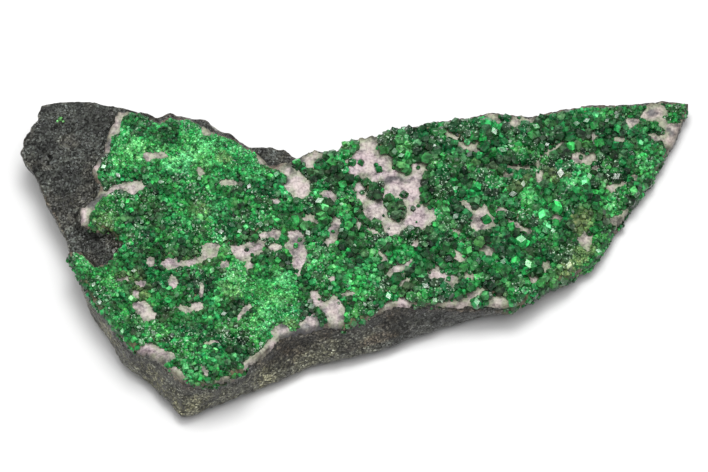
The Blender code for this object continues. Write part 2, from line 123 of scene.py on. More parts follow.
# Windows in the crust where the skin shows, as rings of points
WINDOWS = {
    "west": [
        (103, 194), (110, 188), (117, 184), (122, 182), (133, 181), (141, 182), (145, 187), (140, 192),
        (133, 195), (126, 192), (118, 189), (110, 194), (105, 198),
    ],
    "strip": [
        (117, 107), (128, 109), (126, 115), (121, 119), (120, 126), (117, 132), (112, 137), (110, 144),
        (109, 151), (103, 155), (104, 142), (108, 130), (112, 116),
    ],
    "strip_low": [
        (79, 223), (80, 212), (88, 204), (99, 195), (101, 201), (93, 208), (90, 215), (86, 222),
    ],
    "speck": [(195, 167), (200, 168), (205, 174), (201, 177), (197, 172)],
    "pool": [
        (201, 248), (207, 244), (216, 244), (222, 247), (219, 253), (217, 258), (209, 259), (202, 256),
    ],
    "pond": [
        (231, 243), (238, 245), (247, 243), (262, 241), (265, 245), (262, 251), (259, 255), (252, 258),
        (243, 261), (235, 257), (232, 251),
    ],
    "south": [
        (133, 303), (137, 301), (146, 301), (150, 304), (153, 309), (158, 312), (157, 318), (152, 321),
        (145, 319), (139, 313), (134, 308),
    ],
    "dot": [(192, 306), (195, 303), (203, 302), (206, 305), (204, 310), (198, 312), (193, 309)],
    "slash": [
        (237, 320), (239, 314), (243, 309), (250, 303), (252, 307), (247, 312), (242, 317), (239, 321),
    ],
    "lowest": [(203, 363), (208, 364), (211, 370), (209, 376), (205, 372)],
    "rim_left": [
        (139, 347), (146, 344), (155, 342), (163, 348), (170, 351), (175, 351), (179, 355), (172, 357),
        (167, 364), (162, 358), (155, 353), (146, 351),
    ],
    "rim_right": [
        (244, 361), (250, 357), (258, 352), (265, 345), (270, 339), (276, 339), (273, 347), (262, 354),
        (255, 359), (248, 364), (246, 368),
    ],
    "wedge": [
        (279, 170), (285, 166), (290, 163), (296, 171), (302, 172), (305, 177), (310, 185), (311, 192),
        (307, 199), (300, 202), (294, 199), (291, 193), (286, 189), (284, 187), (288, 181), (288, 176),
        (283, 173),
    ],
    "crest": [
        (298, 160), (306, 154), (314, 150), (322, 152), (321, 158), (316, 161), (313, 168), (309, 170),
        (305, 168), (302, 163),
    ],
    "patchy": [
        (288, 231), (296, 230), (303, 236), (306, 246), (308, 256), (304, 264), (300, 276), (296, 275),
        (292, 266), (293, 256), (287, 250), (285, 246), (290, 240),
    ],
    "quiet": [
        (311, 291), (317, 290), (321, 299), (325, 303), (331, 297), (337, 296), (343, 306), (344, 318),
        (341, 326), (331, 326), (327, 316), (321, 309), (313, 306),
    ],
    "quiet_rim": [(299, 323), (306, 318), (315, 313), (320, 320), (318, 331), (304, 332)],
    "pip": [(326, 279), (330, 276), (336, 276), (336, 280), (331, 283)],
    "step": [(321, 193), (329, 191), (338, 196), (338, 201), (333, 203), (327, 199), (322, 197)],
    "nub": [(300, 221), (306, 216), (312, 214), (317, 221), (319, 226), (313, 225), (306, 222)],
    "fork": [
        (333, 218), (341, 219), (340, 226), (337, 233), (336, 240), (332, 245), (327, 248), (324, 243),
        (328, 237), (327, 231), (331, 225),
    ],
    "long": [
        (359, 140), (366, 137), (377, 137), (377, 148), (380, 154), (389, 155), (392, 159), (390, 165),
        (393, 169), (400, 172), (407, 177), (410, 175), (411, 169), (414, 164), (420, 163), (427, 167),
        (425, 174), (421, 180), (422, 190), (421, 200), (417, 206), (424, 208), (431, 211), (433, 219),
        (429, 227), (421, 230), (412, 228), (406, 228), (402, 233), (396, 234), (389, 236), (385, 231),
        (383, 224), (377, 220), (370, 221), (364, 216), (363, 209), (366, 204), (360, 203), (357, 196),
        (354, 189), (356, 184), (361, 182), (362, 178), (356, 176), (351, 175), (348, 170), (347, 163),
        (343, 158), (350, 157), (355, 155), (359, 149),
    ],
    "slope": [
        (384, 277), (387, 272), (394, 267), (402, 265), (410, 260), (413, 262), (406, 269), (398, 274),
        (390, 277),
    ],
    "belly": [
        (425, 277), (428, 271), (434, 268), (436, 262), (439, 268), (443, 273), (449, 276), (455, 275),
        (458, 278), (456, 284), (452, 288), (448, 283), (443, 279), (437, 278), (430, 280),
    ],
    "crescent": [
        (453, 252), (457, 250), (458, 256), (463, 259), (468, 258), (466, 262), (458, 261), (454, 257),
    ],
    "front_left": [
        (384, 305), (388, 302), (395, 302), (398, 299), (405, 297), (408, 302), (413, 306), (405, 310),
        (396, 309), (386, 313),
    ],
    "front_mid": [
        (441, 310), (443, 304), (449, 301), (457, 302), (463, 299), (469, 299), (471, 305), (476, 309),
        (470, 313), (460, 312), (452, 314), (446, 313),
    ],
    "groove": [
        (444, 128), (449, 132), (455, 134), (459, 140), (463, 145), (470, 146), (478, 142), (480, 144),
        (474, 149), (483, 155), (477, 153), (469, 151), (463, 150), (460, 145), (454, 139), (447, 135),
    ],
    "back": [(487, 114), (492, 111), (497, 115), (504, 121), (500, 125), (494, 121), (489, 119)],
    "hook": [
        (562, 142), (565, 145), (560, 149), (551, 152), (546, 157), (541, 162), (540, 168), (544, 173),
        (543, 180), (541, 185), (538, 183), (538, 177), (541, 172), (538, 167), (537, 160), (543, 155),
        (550, 149), (557, 146),
    ],
    "gate": [
        (572, 154), (578, 151), (583, 154), (590, 154), (596, 153), (599, 157), (595, 161), (588, 164),
        (581, 162), (577, 164), (573, 159),
    ],
    "back_tip": [(626, 118), (634, 117), (640, 118), (642, 122), (637, 125), (633, 128), (628, 123)],
    "tip_left": [
        (642, 117), (645, 110), (650, 106), (655, 105), (663, 104), (668, 107), (671, 112), (668, 118),
        (660, 120), (650, 120),
    ],
    "tip": [
        (660, 123), (668, 119), (675, 122), (686, 122), (684, 129), (681, 134), (678, 141), (674, 147),
        (671, 151), (667, 144), (662, 140), (654, 139), (650, 134), (655, 131), (661, 135), (667, 134),
        (669, 130), (664, 127),
    ],
    "ring": [
        (470, 216), (474, 210), (480, 209), (484, 203), (487, 206), (489, 212), (493, 217), (496, 223),
        (497, 228), (492, 230), (486, 230), (480, 232), (473, 231), (470, 224),
    ],
    "ribbon": [
        (508, 221), (514, 221), (519, 225), (524, 229), (532, 229), (534, 232), (527, 235), (520, 231),
        (513, 226),
    ],
    "tan": [(480, 249), (486, 244), (493, 248), (493, 253), (488, 257), (482, 253)],
    "bead": [(575, 242), (581, 236), (585, 232), (592, 236), (591, 244), (588, 251), (582, 247)],
    "right": [
        (608, 188), (612, 184), (619, 183), (627, 180), (629, 184), (621, 187), (616, 191), (611, 192),
    ],
    "right_low": [
        (610, 220), (615, 217), (622, 213), (628, 209), (631, 213), (624, 220), (617, 224), (612, 224),
    ],
}

# How much fine green dust lies in a window, from 0 to 1
DUSTY = {
    "west": 0.35, "pool": 0.6, "patchy": 0.5, "quiet": 0.4, "quiet_rim": 0.5, "speck": 0.6, "slash": 0.4,
    "lowest": 0.4, "hook": 0.5, "right_low": 0.5, "crescent": 0.3, "slope": 0.3, "nub": 0.3, "gate": 0.3,
}

# Smaller windows: u, v, half-width, half-height and tilt in degrees
SPECKS = [
    (206, 132, 5, 3, 40), (260, 159, 3, 6, -25), (229, 183, 8, 3, 0), (147, 157, 4, 5, 0),
    (158, 156, 8, 4, 0), (152, 262, 4, 5, 0), (170, 264, 8, 5, 0), (186, 264, 8, 3, 0),
    (199, 261, 7, 3, -20), (174, 281, 4, 6, -10), (203, 290, 3, 7, 0), (125, 279, 7, 2, 0),
    (143, 284, 5, 3, 10), (137, 294, 4, 4, 0), (186, 309, 6, 3, 20), (212, 342, 6, 2, 0),
    (180, 371, 7, 3, 45), (281, 331, 8, 6, -20), (224, 378, 4, 2, 0), (276, 234, 6, 5, 0),
    (276, 247, 6, 4, 0), (265, 236, 5, 3, 0), (250, 265, 5, 5, 0), (225, 264, 5, 4, 0),
    (276, 202, 6, 2, 15), (349, 293, 6, 2, -15), (357, 223, 2, 6, -20), (374, 232, 5, 2, 30),
    (415, 245, 4, 4, 0), (405, 282, 5, 2, -35), (382, 256, 5, 2, 50), (475, 294, 8, 3, -25),
    (470, 276, 5, 3, 0), (497, 302, 8, 5, 0), (516, 123, 5, 4, 0), (528, 121, 7, 2, -10),
    (521, 168, 8, 2, 5), (595, 137, 3, 4, 0), (621, 139, 5, 3, 0), (501, 211, 5, 3, 0),
    (467, 206, 6, 2, 40), (558, 219, 4, 3, 0), (546, 267, 4, 5, 0), (533, 280, 4, 3, 0),
    (507, 176, 5, 2, -15), (434, 215, 3, 5, -10), (461, 236, 7, 2, 30), (636, 177, 3, 3, 0),
    (597, 168, 3, 2, 0), (96, 165, 4, 8, 30),
]

# Places where dark rock shows through the skin, in the same way
SCUFFS = [
    (394, 179, 11, 5, -10), (322, 315, 5, 11, 10), (318, 331, 24, 7, -8), (297, 333, 18, 8, -20),
    (336, 327, 12, 5, 0), (284, 322, 5, 10, 15), (346, 170, 3, 5, 0), (286, 181, 4, 5, 0),
    (98, 202, 9, 6, -40), (103, 161, 5, 10, 20), (109, 142, 3, 7, 15), (300, 161, 5, 4, 0),
    (672, 130, 7, 4, 40), (654, 112, 5, 3, 0),
]

# Clumps of crystals that stand in the windows
CLUMPS = [
    [
        (361, 182), (364, 177), (369, 179), (372, 183), (379, 182), (384, 186), (383, 192), (385, 197),
        (381, 201), (375, 201), (370, 198), (366, 192),
    ],
    [
        (384, 198), (392, 196), (397, 200), (404, 201), (407, 209), (404, 217), (400, 222), (393, 221),
        (388, 216), (387, 209), (383, 204),
    ],
]

# Garnets that stand alone in the windows, or on the bare slab: u, v and radius in mm, from the
# centre to a face
LONE_GARNETS = [
    (354, 146, 0.55), (346, 151, 0.45), (352, 163, 0.42), (361, 163, 0.36), (379, 170, 0.38),
    (376, 165, 0.25), (362, 193, 0.28), (404, 195, 0.42), (413, 209, 0.28), (486, 220, 0.5),
    (461, 238, 0.5), (657, 127, 0.32), (663, 131, 0.3), (297, 164, 0.5), (303, 165, 0.3),
    (283, 180, 0.5), (418, 168, 0.22), (399, 214, 0.5), (392, 207, 0.45), (398, 203, 0.4),
    (390, 199, 0.4), (375, 187, 0.45), (381, 191, 0.4), (374, 195, 0.42), (369, 184, 0.35),
    (247, 250, 0.22), (442, 271, 0.3), (448, 279, 0.25), (582, 157, 0.25), (388, 150, 0.5),
    (253, 261, 0.25), (437, 148, 0.5), (333, 232, 0.2), (296, 246, 0.3), (300, 240, 0.25),
]
LONE_ON_SLAB = [(59, 119, 0.25), (62, 121, 0.16), (56, 121, 0.14), (58, 117, 0.12)]

# Sizes of crystals, from the centre to a face, and how they stand
SIZES = [r * MM for r in (0.58, 0.5, 0.43, 0.37, 0.31, 0.26, 0.215, 0.18, 0.15, 0.12)]
OVERHANG = 0.15 * MM  # how far past the crust's edge crystals may stand
SMALLEST_SHARE = 0.32  # of the largest crystal nearby
CROWDING = 0.78  # of its radius that a crystal keeps clear of others
TRIES = 7  # crystals tried for each that would fit side by side
STAND_BACK = 0.75  # of its radius that a crystal keeps clear of a window
STRAYS, LARGEST_STRAY = 0.0003, 0.24 * MM  # share of small crystals that stray into the windows
STRAY_INSET, STRAY_REACH = 0.4 * MM, 0.9 * MM  # from the crust's edge, and into a window
COARSE = 0.3 * MM  # from this size on, crystals are coarse ones
SUNK, RAISED = -0.25, 0.6  # of its radius that a crystal's middle stands above the ground
LONE_RAISED = 0.35  # and a lone garnet's
COARSE_SPREAD, FINE_SPREAD = 0.16, 0.12  # how much the lightness of neighbours differs
COARSE_FACET_LIGHT, FINE_FACET_LIGHT = 0.38, 0.25  # how much the painted light on one crystal's facets differs

PLAIN_SIZE, PLAIN_LIGHT = 0.3, 0.35  # outside every zone, in mm and from 0 to 1
ZONE_WANDER = 9  # pixels by which the zones' edges wander

# Where crystals are fine or coarse and light or dark: u, v, half-width, half-height, tilt
# in degrees, largest crystal in mm, and how light from 0 to 1. Later ones lie over earlier ones.
ZONES = [
    (250, 240, 190, 150, 0, 0.4, 0.4),
    (480, 210, 200, 120, 0, 0.54, 0.3),
    (185, 147, 78, 26, 12, 0.16, 0.78),
    (130, 155, 26, 24, 0, 0.16, 0.74),
    (222, 150, 42, 16, 25, 0.16, 0.82),
    (136, 122, 12, 9, 0, 0.3, 0.35),
    (160, 128, 16, 8, 20, 0.28, 0.35),
    (216, 205, 18, 16, 0, 0.22, 0.6),
    (215, 238, 16, 14, 0, 0.18, 0.7),
    (180, 210, 14, 10, 0, 0.2, 0.62),
    (108, 212, 18, 15, 0, 0.16, 0.62),
    (84, 262, 16, 14, 30, 0.16, 0.6),
    (272, 300, 36, 36, -10, 0.16, 0.84),
    (240, 275, 18, 16, 0, 0.17, 0.78),
    (217, 290, 12, 14, 0, 0.26, 0.65),
    (172, 176, 22, 10, 5, 0.2, 0.12),
    (150, 250, 24, 22, 0, 0.34, 0.35),
    (195, 285, 20, 14, 0, 0.32, 0.2),
    (235, 300, 16, 10, 0, 0.34, 0.12),
    (205, 325, 26, 12, 0, 0.3, 0.35),
    (190, 350, 24, 14, 0, 0.24, 0.6),
    (103, 275, 24, 14, 35, 0.17, 0.55),
    (120, 310, 20, 12, 50, 0.26, 0.45),
    (330, 262, 20, 16, 0, 0.34, 0.5),
    (314, 186, 8, 14, 20, 0.2, 0.75),
    (345, 205, 14, 10, 0, 0.3, 0.55),
    (360, 282, 18, 18, 0, 0.32, 0.62),
    (395, 262, 12, 8, 0, 0.3, 0.6),
    (412, 253, 9, 12, -20, 0.3, 0.7),
    (495, 185, 9, 14, -30, 0.42, 0.68),
    (528, 195, 13, 12, 0, 0.42, 0.68),
    (580, 175, 13, 14, 0, 0.42, 0.6),
    (616, 199, 14, 12, 0, 0.26, 0.66),
    (646, 166, 14, 14, 0, 0.24, 0.6),
    (548, 240, 14, 20, 0, 0.42, 0.6),
    (584, 262, 26, 12, -45, 0.17, 0.55),
    (580, 210, 20, 10, 0, 0.4, 0.25),
    (603, 236, 10, 18, 30, 0.22, 0.5),
]

# Places where brown or grey dust lies on the crystals: u, v, half-width, half-height, tilt and share
DULLED = [
    (573, 264, 28, 12, -45, 0.75), (584, 222, 12, 18, 20, 0.6), (106, 222, 13, 13, 0, 0.5),
    (224, 157, 9, 6, 0, 0.5), (202, 208, 12, 9, 0, 0.4), (556, 175, 14, 8, 0, 0.4),
    (520, 185, 16, 8, -30, 0.4), (285, 325, 12, 8, 0, 0.6), (232, 290, 16, 8, 20, 0.35),
    (141, 292, 11, 9, 0, 0.6), (130, 276, 16, 6, 0, 0.5), (196, 262, 16, 6, 0, 0.4),
    (59, 119, 10, 6, 0, 0.5),
]

# Greens of the crystals from dark to pale, how light each is, what clouds them, and the pale green of
# their painted glints
GREENS = [(0.001, 0.015, 0.004), (0.003, 0.078, 0.016), (0.013, 0.22, 0.042), (0.09, 0.41, 0.14)]
GREEN_STEPS = [0.0, 0.35, 0.7, 1.0]
HAZE, OLIVE_GREEN, PAINTED_GLINT = (0.08, 0.15, 0.08), (0.05, 0.10, 0.03), (0.42, 0.55, 0.42)
DULL_GREEN = (0.10, 0.15, 0.055)

# Colours of the rock, of the skin and of the gaps between crystals
FRESH, BROWN = (0.0215, 0.0235, 0.019), (0.055, 0.04, 0.024)
WALL_GREY, OLIVE = (0.036, 0.038, 0.033), (0.092, 0.089, 0.052)
LILAC, CREAM, BEIGE = (0.335, 0.272, 0.285), (0.315, 0.285, 0.262), (0.305, 0.27, 0.248)
TAN, DUST, SCUFF = (0.28, 0.24, 0.22), (0.15, 0.19, 0.11), (0.05, 0.05, 0.055)
RUSTY, GAP_BROWN = (0.105, 0.085, 0.065), (0.10, 0.075, 0.045)

LOW, HIGH = (Vector(corner) for corner in cad_box)
MARGIN = 1.5 * MM
FACE_TILT = 0.75  # least upward part of a normal on the slab's upper face


class Grid:
    """Numbers known at the corners of square cells over the plate, read off in between."""

    def __init__(self):
        self.x = np.arange(LOW.x - MARGIN, HIGH.x + MARGIN, CELL)
        self.y = np.arange(LOW.y - MARGIN, HIGH.y + MARGIN, CELL)
        xs, ys = np.meshgrid(self.x, self.y)
        self.places = np.stack([xs.ravel(), ys.ravel()], axis=1)
        self.shape = xs.shape

    def read(self, values, places):
        """Values at places (n, 2), by the four cell corners round each."""
        table = values.reshape(self.shape)
        column = np.clip((places[:, 0] - self.x[0]) / CELL, 0, self.shape[1] - 1.001)
        row = np.clip((places[:, 1] - self.y[0]) / CELL, 0, self.shape[0] - 1.001)
        i, j = column.astype(int), row.astype(int)
        s, t = column - i, row - j
        lower = table[j, i] * (1 - s) + table[j, i + 1] * s
        upper = table[j + 1, i] * (1 - s) + table[j + 1, i + 1] * s
        return lower * (1 - t) + upper * t


def ripple(points, size, seed):
    """Smooth random numbers from -1 to 1 at points (n, 2 or 3), with bumps one size apart."""
    table = np.random.default_rng(seed).uniform(-1, 1, (32,) * points.shape[1])
    spots = points / size
    base = np.floor(spots).astype(int)
    share = spots - base
    share = share * share * (3 - 2 * share)
    total = np.zeros(len(points))
    for corner in itertools.product((0, 1), repeat=points.shape[1]):
        index = (base + corner) % 32
        weight = np.prod(np.where(corner, share, 1 - share), axis=1)
        total += weight * table[tuple(index.T)]
    return total


def roughness(points, size, seed, octaves=3):
    """Several ripples, each half the size and half the height of the last."""
    return sum(ripple(points, size / 2**k, seed + k) / 2**k for k in range(octaves))


def wander(points, size, seeds, octaves=3):
    """Random steps across and up (n, 2), from about -1 to 1, for edges that wander."""
    return np.stack([roughness(points, size, seed, octaves) for seed in seeds], axis=1)


def ramp(values, start, end):
    """0 before start, 1 after end and smooth between them."""
    share = np.clip((values - start) / (end - start), 0, 1)
    return share * share * (3 - 2 * share)


def slab_heights(grid):
    """Height of the slab's upper face over the grid, carried on past its edge."""
    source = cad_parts["chromite_slab"]
    vertices = [source.matrix_world @ v.co for v in source.data.vertices]
    tree = BVHTree.FromPolygons(vertices, [p.vertices[:] for p in source.data.polygons])
    down = Vector((0, 0, -1))
    found = [tree.ray_cast(Vector((x, y, 1.0)), down)[:2] for x, y in grid.places]
    on_face = [hit and normal.z > FACE_TILT for hit, normal in found]
    heights = [hit[0].z if kept else np.nan for hit, kept in zip(found, on_face)]
    heights = np.array(heights).reshape(grid.shape)
    while np.isnan(heights).any():
        padded = np.pad(heights, 1, constant_values=np.nan)
        near = [padded[1:-1, :-2], padded[1:-1, 2:], padded[:-2, 1:-1], padded[2:, 1:-1]]
        known = np.sum([~np.isnan(n) for n in near], axis=0)
        total = np.nansum(near, axis=0)
        fill = np.isnan(heights) & (known > 0)
        heights[fill] = total[fill] / known[fill]
    for _ in range(2):
        padded = np.pad(heights, 1, mode="edge")
        heights = (padded[1:-1, :-2] + padded[1:-1, 2:] + padded[:-2, 1:-1] + padded[2:, 1:-1]) / 4
    return heights.ravel()


def laid(pixels, grid, slab, rise):
    """Places (n, 2) whose image is at these pixels, at a rise above the slab's face."""
    pixels = np.array(pixels, float)
    places = np.zeros((len(pixels), 2))
    places[:, 0] = (pixels[:, 0] - CENTRE_U) * PIXEL
    for _ in range(6):
        height = grid.read(slab, places) + rise
        up_picture = (CENTRE_V - pixels[:, 1]) * PIXEL - height * math.cos(VIEW_ELEVATION)
        places[:, 1] = up_picture / math.sin(VIEW_ELEVATION)
    return places


def depth_inside(places, ring):
    """Distance from each place to a closed ring, negative outside it."""
    nearest = np.full(len(places), np.inf)
    odd = np.zeros(len(places), bool)
    for a, b in zip(ring, np.roll(ring, -1, axis=0)):
        side = b - a
        share = np.clip((places - a) @ side / (side @ side), 0, 1)
        nearest = np.minimum(nearest, np.linalg.norm(places - a - share[:, None] * side, axis=1))
        spans = (a[1] > places[:, 1]) != (b[1] > places[:, 1])
        if a[1] != b[1]:
            crossing = a[0] + (places[:, 1] - a[1]) * (b[0] - a[0]) / (b[1] - a[1])
            odd ^= spans & (places[:, 0] < crossing)
    return np.where(odd, nearest, -nearest)


def picture_of(places, heights):
    """Pixels (n, 2) at which the camera sees places at these heights."""
    up = places[:, 1] * math.sin(VIEW_ELEVATION) + heights * math.cos(VIEW_ELEVATION)
    return np.stack([CENTRE_U + places[:, 0] / PIXEL, CENTRE_V - up / PIXEL], axis=1)


def ellipse_share(pixels, u, v, half_width, half_height, tilt):
    """Distance of pixels from an ellipse's centre: 0 there and 1 on the ellipse."""
    angle = math.radians(tilt)
    across, down = pixels[:, 0] - u, pixels[:, 1] - v
    along = across * math.cos(angle) + down * math.sin(angle)
    aside = down * math.cos(angle) - across * math.sin(angle)
    return np.hypot(along / half_width, aside / half_height)


def window_depth(grid, slab):
    """How far inside a window each place of the grid lies, in metres, negative outside windows."""
    places = grid.places
    moved = places + RAGGED * wander(places, 0.9 * MM, (41, 43), 2)
    pixels = picture_of(moved, slab + SKIN_RISE)
    depth = np.full(len(places), -np.inf)
    for ring in WINDOWS.values():
        depth = np.maximum(depth, depth_inside(moved, laid(ring, grid, slab, SKIN_RISE)))
    for ring in CLUMPS:
        depth = np.minimum(depth, -depth_inside(moved, laid(ring, grid, slab, SKIN_RISE)))
    for ellipse in SPECKS:
        smaller_half = min(ellipse[2:4])
        depth = np.maximum(depth, (1 - ellipse_share(pixels, *ellipse)) * smaller_half * PIXEL)
    return depth


def dust_field(grid, slab):
    """How much green dust lies on the skin at each place of the grid."""
    dusty = np.zeros(len(grid.places))
    for name, share in DUSTY.items():
        depth = depth_inside(grid.places, laid(WINDOWS[name], grid, slab, SKIN_RISE))
        dusty = np.maximum(dusty, share * (depth > -RAGGED))
    return dusty * (0.6 + 0.8 * roughness(grid.places, 0.9 * MM, 95, 2))


def zone_fields(pixels, places):
    """Largest crystal radius and lightness at each place."""
    moved = pixels + ZONE_WANDER * wander(places, 3 * MM, (51, 52), 1)
    largest = np.full(len(pixels), PLAIN_SIZE)
    light = np.full(len(pixels), PLAIN_LIGHT)
    for *ellipse, size, lightness in ZONES:
        weight = 1 - ramp(ellipse_share(moved, *ellipse), 0.75, 1.15)
        largest += weight * (size - largest)
        light += weight * (lightness - light)
    light += 0.22 * ripple(places, 2.0 * MM, 53) + 0.2 * ripple(places, 0.9 * MM, 54)
    light -= 0.35 * ramp(roughness(places, 2.4 * MM, 55, 2), 0.25, 0.9) * (light - 0.3)
    return largest * MM, np.clip(light, 0, 1)


def placed(name, data):
    """A new object of this mesh, lamp or camera, in the scene."""
    obj = bpy.data.objects.new(name, data)
    bpy.context.scene.collection.objects.link(obj)
    return obj


class Plate:
    """Over the grid: the slab's height, the depth inside each edge, and the zones."""

    def __init__(self):
        self.grid = grid = Grid()
        self.slab = slab = slab_heights(grid)
        steps = EDGE_WANDER * wander(grid.places, 1.1 * MM, (31, 35))
        self.crust = depth_inside(grid.places + steps, laid(CRUST_EDGE, grid, slab, BED_RISE))
        self.skin = depth_inside(grid.places + 0.6 * steps, laid(SKIN_EDGE, grid, slab, SKIN_RISE))
        self.window = window_depth(grid, slab)
        self.green = np.minimum(self.crust, -self.window)
        self.largest, self.light = zone_fields(picture_of(grid.places, slab + BED_RISE), grid.places)


def make_mesh(name, vertices, quads, flat=False):
    """A mesh object of quads or triangles, made from arrays."""
    mesh = bpy.data.meshes.new(name)
    mesh.vertices.add(len(vertices))
    mesh.vertices.foreach_set("co", np.asarray(vertices, np.float32).ravel())
    mesh.loops.add(quads.size)
    mesh.loops.foreach_set("vertex_index", np.asarray(quads, np.int32).ravel())
    mesh.polygons.add(len(quads))
    mesh.polygons.foreach_set("loop_start", np.arange(0, quads.size, quads.shape[1], dtype=np.int32))
    mesh.update(calc_edges=True)
    if flat:
        mesh.shade_flat()
    return placed(name, mesh)


def blanket(name, grid, depth, top, bottom):
    """A closed layer over the grid where depth is positive, with its rim on the line of no depth."""
    rows, columns = grid.shape
    count = rows * columns
    number = np.arange(count).reshape(rows, columns)
    keep = (depth > 0).reshape(rows, columns)
    cells = keep[:-1, :-1] & keep[1:, :-1] & keep[:-1, 1:] & keep[1:, 1:]
    quads = np.stack([number[:-1, :-1], number[:-1, 1:], number[1:, 1:], number[1:, :-1]], axis=2)[cells]
    sides = np.concatenate([quads[:, [k, (k + 1) % 4]] for k in range(4)])
    codes = sides[:, 0] * count + sides[:, 1]
    back = sides[:, 1] * count + sides[:, 0]
    rim = sides[~np.isin(codes, back)]
    walls = np.stack([rim[:, 1], rim[:, 0], rim[:, 0] + count, rim[:, 1] + count], axis=1)
    every = np.concatenate([quads, quads[:, ::-1] + count, walls])

    down, across = np.gradient(depth.reshape(rows, columns), CELL)
    slope = np.column_stack([across.ravel(), down.ravel()])
    steepness = np.linalg.norm(slope, axis=1) + 0.2
    places = grid.places.copy()
    edge = np.unique(rim)
    shift = np.minimum(depth[edge] / steepness[edge], 0.8 * CELL)
    places[edge] -= slope[edge] / steepness[edge, None] * shift[:, None]

    upper = np.column_stack([places, top])
    lower = np.column_stack([places, bottom])
    used, renumbered = np.unique(every, return_inverse=True)
    vertices = np.concatenate([upper, lower])[used]
    return make_mesh(name, vertices, renumbered.reshape(every.shape)), used % count, used >= count


def paint(obj, name, colours):
    """Gives each vertex a colour, kept under this name."""
    layer = obj.data.color_attributes.new(name, "FLOAT_COLOR", "POINT")
    opaque = np.column_stack([colours, np.ones(len(colours))])
    layer.data.foreach_set("color", opaque.astype(np.float32).ravel())


def blend(first, second, share):
    """Colours between two, (3,) or (n, 3), by a share for each vertex."""
    return np.asarray(first) + (np.asarray(second) - np.asarray(first)) * share[:, None]


def dodecahedron():
    """Vertices, triangles and each triangle's facet of a rhombic dodecahedron of inner radius 1."""
    corners = [(x, y, z) for x in (-1, 1) for y in (-1, 1) for z in (-1, 1)]
    peaks = [(2, 0, 0), (-2, 0, 0), (0, 2, 0), (0, -2, 0), (0, 0, 2), (0, 0, -2)]
    bm = bmesh.new()
    for spot in corners + peaks:
        bm.verts.new(Vector(spot) / math.sqrt(2))
    bmesh.ops.convex_hull(bm, input=bm.verts)
    bm.verts.index_update()
    vertices = np.array([v.co for v in bm.verts])
    faces = np.array([[v.index for v in f.verts] for f in bm.faces])
    normals = np.round([f.normal for f in bm.faces], 3) + 0.0
    facets = np.unique(normals, axis=0, return_inverse=True)[1].ravel()
    bm.free()
    return vertices, faces, facets


def turns(count, dice):
    """Random rotation matrices (count, 3, 3), from random unit quaternions."""
    q = dice.normal(size=(count, 4))
    w, x, y, z = (q / np.linalg.norm(q, axis=1)[:, None]).T
    rows = [
        [1 - 2 * (y * y + z * z), 2 * (x * y - z * w), 2 * (x * z + y * w)],
        [2 * (x * y + z * w), 1 - 2 * (x * x + z * z), 2 * (y * z - x * w)],
        [2 * (x * z - y * w), 2 * (y * z + x * w), 1 - 2 * (x * x + y * y)],
    ]
    return np.moveaxis(np.array(rows), 2, 0)


def crystals(name, centres, radii, tints, spread, dice):
    """One mesh of many closed crystals, each with its own tint and painted light on its facets: each
    facet made lighter or darker at random, for light reflected inside the crystal.
    """
    vertices, faces, facets = dodecahedron()
    count = len(centres)
    stretch = 1 + dice.uniform(-0.12, 0.12, (count, 1, 3))
    turned = np.einsum("nij,nkj->nki", turns(count, dice), vertices[None] * stretch)
    spots = centres[:, None, :] + turned * radii[:, None, None]
    numbered = faces[None] + (np.arange(count) * len(vertices))[:, None, None]
    obj = make_mesh(name, spots.reshape(-1, 3), numbered.reshape(-1, 3), flat=True)
    # painted light: each facet made lighter or darker at random, standing for light reflected inside the
    # crystal
    painted_facet_light = np.exp(dice.normal(0, spread, (count, facets.max() + 1)))[:, facets]
    colours = np.ones((count, len(faces), 3, 4), np.float32)
    colours[:, :, :, :3] = (tints[:, None, :] * painted_facet_light[:, :, None])[:, :, None, :]
    layer = obj.data.color_attributes.new("tint", "FLOAT_COLOR", "CORNER")
    layer.data.foreach_set("color", colours.ravel())
    return obj


def packed(grid, largest, room, loose, dice):
    """Places and radii of crystals, coarse ones first, with finer ones in the space left."""
    columns = int((HIGH.x - LOW.x) / STAMP) + 1
    rows = int((HIGH.y - LOW.y) / STAMP) + 1
    pad = int(SIZES[0] / STAMP) + 2
    taken = np.zeros((rows + 2 * pad, columns + 2 * pad), bool)
    spots, radii = [], []
    for radius in SIZES:
        reach = int(round(CROWDING * radius / STAMP))
        span = np.arange(-reach, reach + 1)
        disc = span[:, None] ** 2 + span[None, :] ** 2 <= reach * reach
        tries = int(TRIES * (HIGH.x - LOW.x) * (HIGH.y - LOW.y) / (math.pi * radius**2))
        places = [dice.uniform(LOW.x, HIGH.x, tries), dice.uniform(LOW.y, HIGH.y, tries)]
        places = np.column_stack(places)
        limit = grid.read(largest, places)
        fits = grid.read(room, places) > STAND_BACK * radius
        fits &= (radius <= limit * dice.uniform(0.8, 1.1, tries)) & (radius > SMALLEST_SHARE * limit)
        strays = (grid.read(loose, places) > 0) & (dice.random(tries) < STRAYS)
        if radius < LARGEST_STRAY:
            fits |= strays
        for x, y in places[fits]:
            i = int((x - LOW.x) / STAMP) + pad
            j = int((y - LOW.y) / STAMP) + pad
            patch = taken[j - reach : j + reach + 1, i - reach : i + reach + 1]
            if not (patch & disc).any():
                patch |= disc
                spots.append((x, y))
                radii.append(radius)
    radii = np.array(radii) * dice.uniform(0.9, 1.1, len(radii))
    return np.array(spots), radii


def material(name):
    """A new material, with its node tree and its shader."""
    made = bpy.data.materials.new(name)
    made.use_nodes = True
    tree = made.node_tree
    return made, tree, tree.nodes["Principled BSDF"]


def add(tree, kind, inputs=None, **settings):
    """A new node with these settings. An input is a value, or another node's output."""
    made = tree.nodes.new(kind)
    for key, value in settings.items():
        setattr(made, key, value)
    for key, value in (inputs or {}).items():
        if isinstance(value, bpy.types.NodeSocket):
            tree.links.new(value, made.inputs[key])
        else:
            made.inputs[key].default_value = value
    return made


